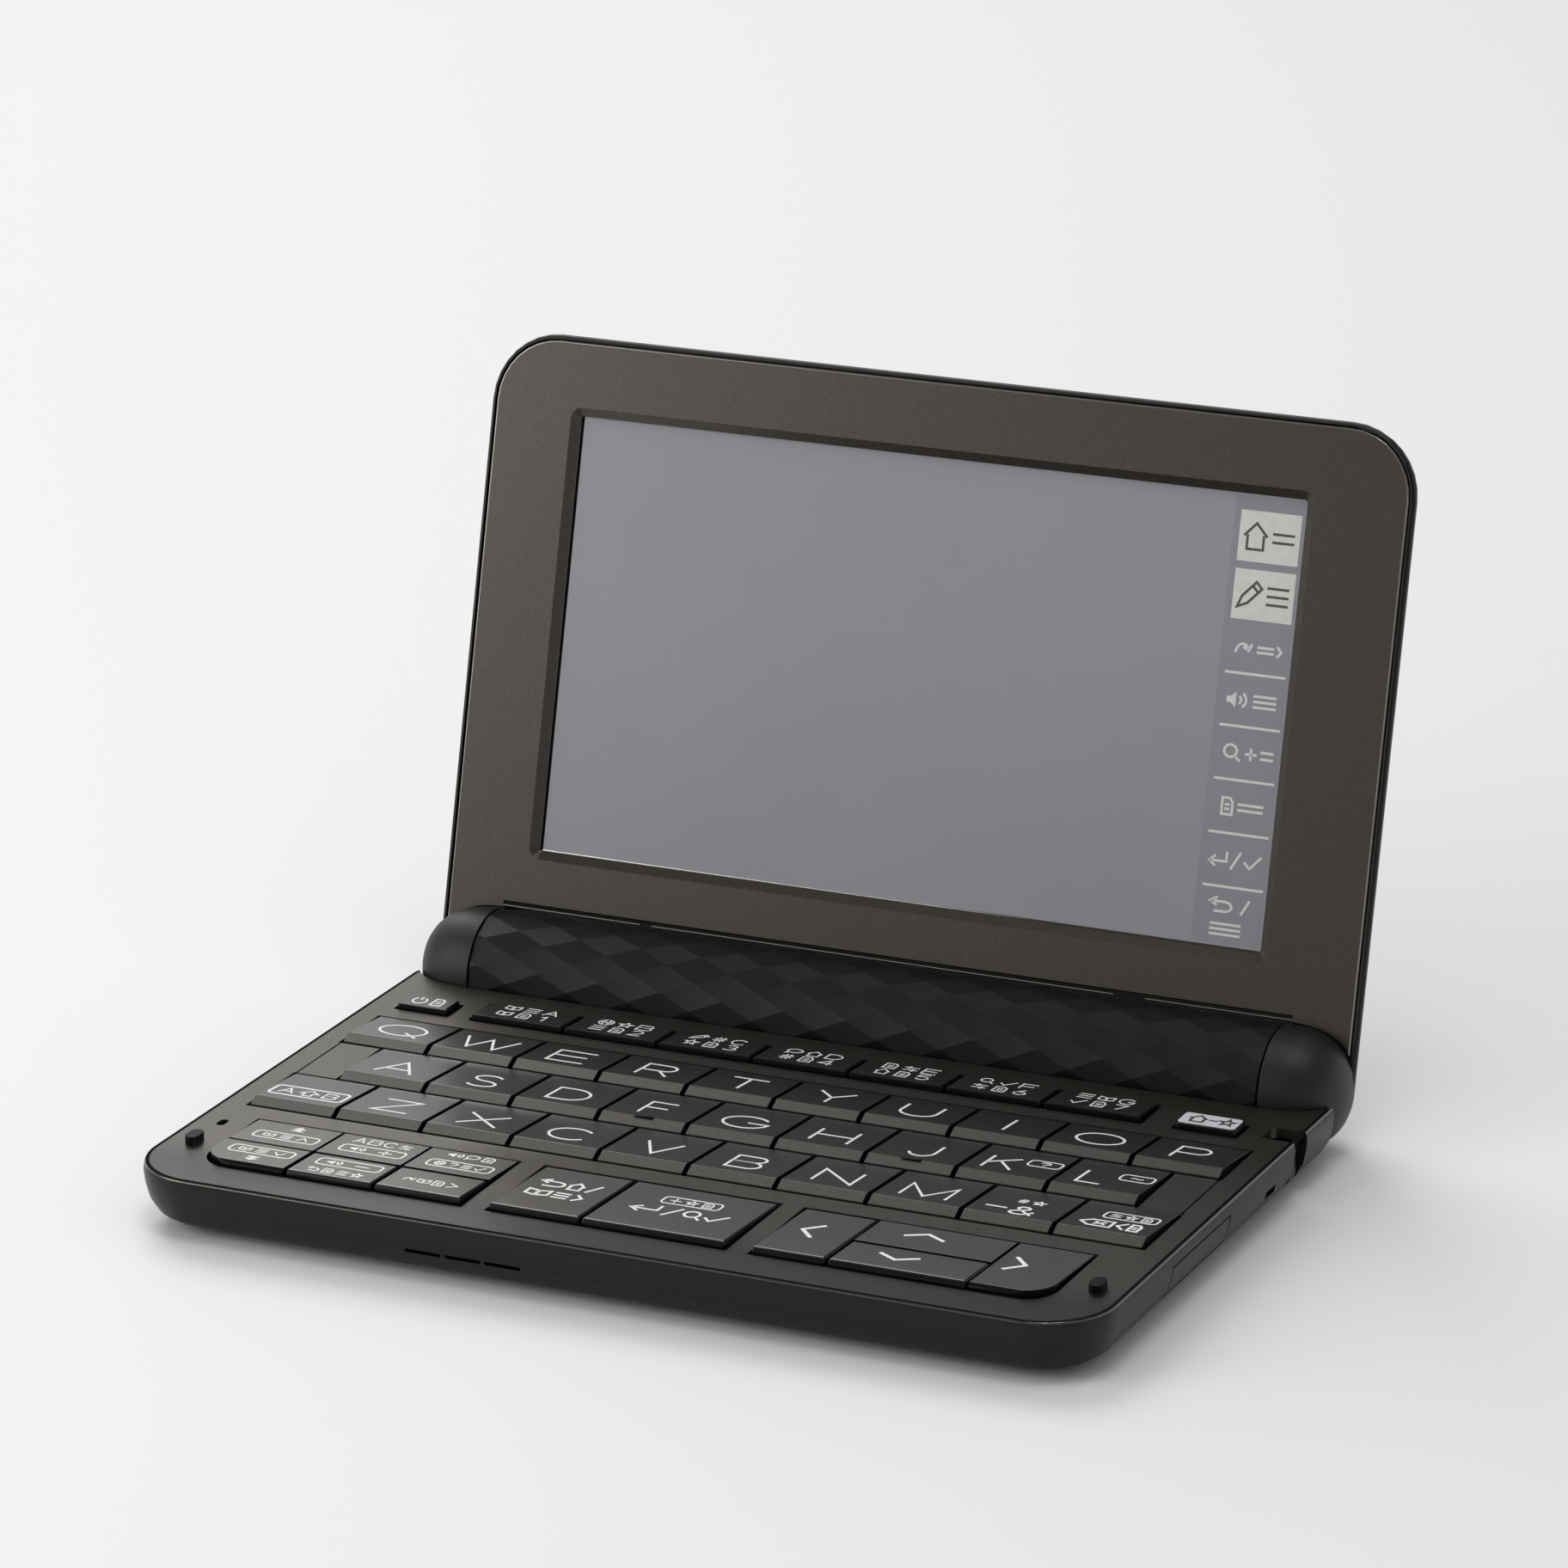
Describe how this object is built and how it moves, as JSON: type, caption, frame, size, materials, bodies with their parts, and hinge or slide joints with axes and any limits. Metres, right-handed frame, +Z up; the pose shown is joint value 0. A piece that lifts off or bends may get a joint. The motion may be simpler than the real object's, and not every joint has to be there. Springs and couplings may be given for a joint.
{
  "type": "electronic dictionary",
  "caption": "Pocket electronic dictionary: a lid with a grey display turns about a faceted battery barrel behind a small keyboard with a stylus.",
  "frame": {"origin": "centre of the bounding box in plan, on the table plane under the feet, with the lid open as pictured", "axes": "+X to the user's right along the keyboard, +Y from the user towards the hinge, +Z up"},
  "size_m": [0.1486, 0.1264, 0.1016],
  "materials": {
    "case_shell": "fine-grained near-black plastic",
    "brown_panel": "metallic brown lacquered plastic, satin",
    "barrel": "near-black plastic with a diamond-shaped relief",
    "key": "brown-black satin plastic with white legends",
    "dark_key": "black gloss plastic",
    "home_key": "white plastic plate in a dark rim",
    "display": "blue-grey display behind a satin film",
    "rubber": "matt black rubber",
    "board": "green circuit board",
    "pin": "turned steel",
    "cell_wrap": "metallic film round the cells"
  },
  "bodies": {
    "base": {"bottom_case": "case_shell", "top_case": "brown_panel", "hinge_barrel": "barrel", "hinge_pin_left": "pin", "hinge_pin_right": "pin", "battery_cells": "cell_wrap", "key_mat": "rubber", "circuit_board": "board", "front_foot": "rubber", "rear_foot": "rubber"},
    "lid": {"lid_back_shell": "case_shell", "lid_bezel": "brown_panel", "display_panel": "display"},
    "battery_cover": {"battery_cover": "barrel"},
    "stylus": {"stylus": "case_shell"},
    "port_cover": {"port_cover": "case_shell"},
    "power_key": {"power_key": "dark_key"},
    "category_key_strip": {"category_key_strip": "dark_key"},
    "home_key": {"home_key": "home_key"},
    "key_q": {"key_q": "key"},
    "key_w": {"key_w": "key"},
    "key_e": {"key_e": "key"},
    "key_r": {"key_r": "key"},
    "key_t": {"key_t": "key"},
    "key_y": {"key_y": "key"},
    "key_u": {"key_u": "key"},
    "key_i": {"key_i": "key"},
    "key_o": {"key_o": "key"},
    "key_p": {"key_p": "key"},
    "key_a": {"key_a": "key"},
    "key_s": {"key_s": "key"},
    "key_d": {"key_d": "key"},
    "key_f": {"key_f": "key"},
    "key_g": {"key_g": "key"},
    "key_h": {"key_h": "key"},
    "key_j": {"key_j": "key"},
    "key_k": {"key_k": "key"},
    "key_l": {"key_l": "key"},
    "shift_key": {"shift_key": "key"},
    "key_z": {"key_z": "key"},
    "key_x": {"key_x": "key"},
    "key_c": {"key_c": "key"},
    "key_v": {"key_v": "key"},
    "key_b": {"key_b": "key"},
    "key_n": {"key_n": "key"},
    "key_m": {"key_m": "key"},
    "symbol_key": {"symbol_key": "key"},
    "delete_key": {"delete_key": "key"},
    "previous_key": {"previous_key": "key"},
    "next_key": {"next_key": "key"},
    "volume_up_key": {"volume_up_key": "key"},
    "volume_down_key": {"volume_down_key": "key"},
    "guide_key": {"guide_key": "key"},
    "jump_key": {"jump_key": "key"},
    "return_key": {"return_key": "key"},
    "enter_key": {"enter_key": "key"},
    "cursor_left_key": {"cursor_left_key": "key"},
    "cursor_up_key": {"cursor_up_key": "key"},
    "cursor_down_key": {"cursor_down_key": "key"},
    "cursor_right_key": {"cursor_right_key": "key"}
  },
  "joints": [
    {"name": "lid_hinge", "type": "hinge", "parent": "base", "child": "lid", "pos_m": [0, 0.03297, 0.0093], "axis": [-1, 0, 0], "range_deg": [-105, 50]},
    {"name": "battery_cover_slide", "type": "slide", "parent": "base", "child": "battery_cover", "axis": [0, 1, 0], "range_m": [0, 0.008]},
    {"name": "stylus_slide", "type": "slide", "parent": "base", "child": "stylus", "axis": [1, 0, 0], "range_m": [0, 0.075]},
    {"name": "port_cover_hinge", "type": "hinge", "parent": "base", "child": "port_cover", "pos_m": [0.07401, -0.01204, 0.00505], "axis": [0, 0, 1], "range_deg": [0, 100]},
    {"name": "power_key_press", "type": "slide", "parent": "base", "child": "power_key", "axis": [0, 0, -1], "range_m": [0, 0.0008], "stiffness_N_per_m": 300},
    {"name": "category_key_strip_press", "type": "slide", "parent": "base", "child": "category_key_strip", "axis": [0, 0, -1], "range_m": [0, 0.0008], "stiffness_N_per_m": 300},
    {"name": "home_key_press", "type": "slide", "parent": "base", "child": "home_key", "axis": [0, 0, -1], "range_m": [0, 0.0008], "stiffness_N_per_m": 300},
    {"name": "key_q_press", "type": "slide", "parent": "base", "child": "key_q", "axis": [0, 0, -1], "range_m": [0, 0.0008], "stiffness_N_per_m": 300},
    {"name": "key_w_press", "type": "slide", "parent": "base", "child": "key_w", "axis": [0, 0, -1], "range_m": [0, 0.0008], "stiffness_N_per_m": 300},
    {"name": "key_e_press", "type": "slide", "parent": "base", "child": "key_e", "axis": [0, 0, -1], "range_m": [0, 0.0008], "stiffness_N_per_m": 300},
    {"name": "key_r_press", "type": "slide", "parent": "base", "child": "key_r", "axis": [0, 0, -1], "range_m": [0, 0.0008], "stiffness_N_per_m": 300},
    {"name": "key_t_press", "type": "slide", "parent": "base", "child": "key_t", "axis": [0, 0, -1], "range_m": [0, 0.0008], "stiffness_N_per_m": 300},
    {"name": "key_y_press", "type": "slide", "parent": "base", "child": "key_y", "axis": [0, 0, -1], "range_m": [0, 0.0008], "stiffness_N_per_m": 300},
    {"name": "key_u_press", "type": "slide", "parent": "base", "child": "key_u", "axis": [0, 0, -1], "range_m": [0, 0.0008], "stiffness_N_per_m": 300},
    {"name": "key_i_press", "type": "slide", "parent": "base", "child": "key_i", "axis": [0, 0, -1], "range_m": [0, 0.0008], "stiffness_N_per_m": 300},
    {"name": "key_o_press", "type": "slide", "parent": "base", "child": "key_o", "axis": [0, 0, -1], "range_m": [0, 0.0008], "stiffness_N_per_m": 300},
    {"name": "key_p_press", "type": "slide", "parent": "base", "child": "key_p", "axis": [0, 0, -1], "range_m": [0, 0.0008], "stiffness_N_per_m": 300},
    {"name": "key_a_press", "type": "slide", "parent": "base", "child": "key_a", "axis": [0, 0, -1], "range_m": [0, 0.0008], "stiffness_N_per_m": 300},
    {"name": "key_s_press", "type": "slide", "parent": "base", "child": "key_s", "axis": [0, 0, -1], "range_m": [0, 0.0008], "stiffness_N_per_m": 300},
    {"name": "key_d_press", "type": "slide", "parent": "base", "child": "key_d", "axis": [0, 0, -1], "range_m": [0, 0.0008], "stiffness_N_per_m": 300},
    {"name": "key_f_press", "type": "slide", "parent": "base", "child": "key_f", "axis": [0, 0, -1], "range_m": [0, 0.0008], "stiffness_N_per_m": 300},
    {"name": "key_g_press", "type": "slide", "parent": "base", "child": "key_g", "axis": [0, 0, -1], "range_m": [0, 0.0008], "stiffness_N_per_m": 300},
    {"name": "key_h_press", "type": "slide", "parent": "base", "child": "key_h", "axis": [0, 0, -1], "range_m": [0, 0.0008], "stiffness_N_per_m": 300},
    {"name": "key_j_press", "type": "slide", "parent": "base", "child": "key_j", "axis": [0, 0, -1], "range_m": [0, 0.0008], "stiffness_N_per_m": 300},
    {"name": "key_k_press", "type": "slide", "parent": "base", "child": "key_k", "axis": [0, 0, -1], "range_m": [0, 0.0008], "stiffness_N_per_m": 300},
    {"name": "key_l_press", "type": "slide", "parent": "base", "child": "key_l", "axis": [0, 0, -1], "range_m": [0, 0.0008], "stiffness_N_per_m": 300},
    {"name": "shift_key_press", "type": "slide", "parent": "base", "child": "shift_key", "axis": [0, 0, -1], "range_m": [0, 0.0008], "stiffness_N_per_m": 300},
    {"name": "key_z_press", "type": "slide", "parent": "base", "child": "key_z", "axis": [0, 0, -1], "range_m": [0, 0.0008], "stiffness_N_per_m": 300},
    {"name": "key_x_press", "type": "slide", "parent": "base", "child": "key_x", "axis": [0, 0, -1], "range_m": [0, 0.0008], "stiffness_N_per_m": 300},
    {"name": "key_c_press", "type": "slide", "parent": "base", "child": "key_c", "axis": [0, 0, -1], "range_m": [0, 0.0008], "stiffness_N_per_m": 300},
    {"name": "key_v_press", "type": "slide", "parent": "base", "child": "key_v", "axis": [0, 0, -1], "range_m": [0, 0.0008], "stiffness_N_per_m": 300},
    {"name": "key_b_press", "type": "slide", "parent": "base", "child": "key_b", "axis": [0, 0, -1], "range_m": [0, 0.0008], "stiffness_N_per_m": 300},
    {"name": "key_n_press", "type": "slide", "parent": "base", "child": "key_n", "axis": [0, 0, -1], "range_m": [0, 0.0008], "stiffness_N_per_m": 300},
    {"name": "key_m_press", "type": "slide", "parent": "base", "child": "key_m", "axis": [0, 0, -1], "range_m": [0, 0.0008], "stiffness_N_per_m": 300},
    {"name": "symbol_key_press", "type": "slide", "parent": "base", "child": "symbol_key", "axis": [0, 0, -1], "range_m": [0, 0.0008], "stiffness_N_per_m": 300},
    {"name": "delete_key_press", "type": "slide", "parent": "base", "child": "delete_key", "axis": [0, 0, -1], "range_m": [0, 0.0008], "stiffness_N_per_m": 300},
    {"name": "previous_key_press", "type": "slide", "parent": "base", "child": "previous_key", "axis": [0, 0, -1], "range_m": [0, 0.0008], "stiffness_N_per_m": 300},
    {"name": "next_key_press", "type": "slide", "parent": "base", "child": "next_key", "axis": [0, 0, -1], "range_m": [0, 0.0008], "stiffness_N_per_m": 300},
    {"name": "volume_up_key_press", "type": "slide", "parent": "base", "child": "volume_up_key", "axis": [0, 0, -1], "range_m": [0, 0.0008], "stiffness_N_per_m": 300},
    {"name": "volume_down_key_press", "type": "slide", "parent": "base", "child": "volume_down_key", "axis": [0, 0, -1], "range_m": [0, 0.0008], "stiffness_N_per_m": 300},
    {"name": "guide_key_press", "type": "slide", "parent": "base", "child": "guide_key", "axis": [0, 0, -1], "range_m": [0, 0.0008], "stiffness_N_per_m": 300},
    {"name": "jump_key_press", "type": "slide", "parent": "base", "child": "jump_key", "axis": [0, 0, -1], "range_m": [0, 0.0008], "stiffness_N_per_m": 300},
    {"name": "return_key_press", "type": "slide", "parent": "base", "child": "return_key", "axis": [0, 0, -1], "range_m": [0, 0.0008], "stiffness_N_per_m": 300},
    {"name": "enter_key_press", "type": "slide", "parent": "base", "child": "enter_key", "axis": [0, 0, -1], "range_m": [0, 0.0008], "stiffness_N_per_m": 300},
    {"name": "cursor_left_key_press", "type": "slide", "parent": "base", "child": "cursor_left_key", "axis": [0, 0, -1], "range_m": [0, 0.0008], "stiffness_N_per_m": 300},
    {"name": "cursor_up_key_press", "type": "slide", "parent": "base", "child": "cursor_up_key", "axis": [0, 0, -1], "range_m": [0, 0.0008], "stiffness_N_per_m": 300},
    {"name": "cursor_down_key_press", "type": "slide", "parent": "base", "child": "cursor_down_key", "axis": [0, 0, -1], "range_m": [0, 0.0008], "stiffness_N_per_m": 300},
    {"name": "cursor_right_key_press", "type": "slide", "parent": "base", "child": "cursor_right_key", "axis": [0, 0, -1], "range_m": [0, 0.0008], "stiffness_N_per_m": 300}
  ]
}
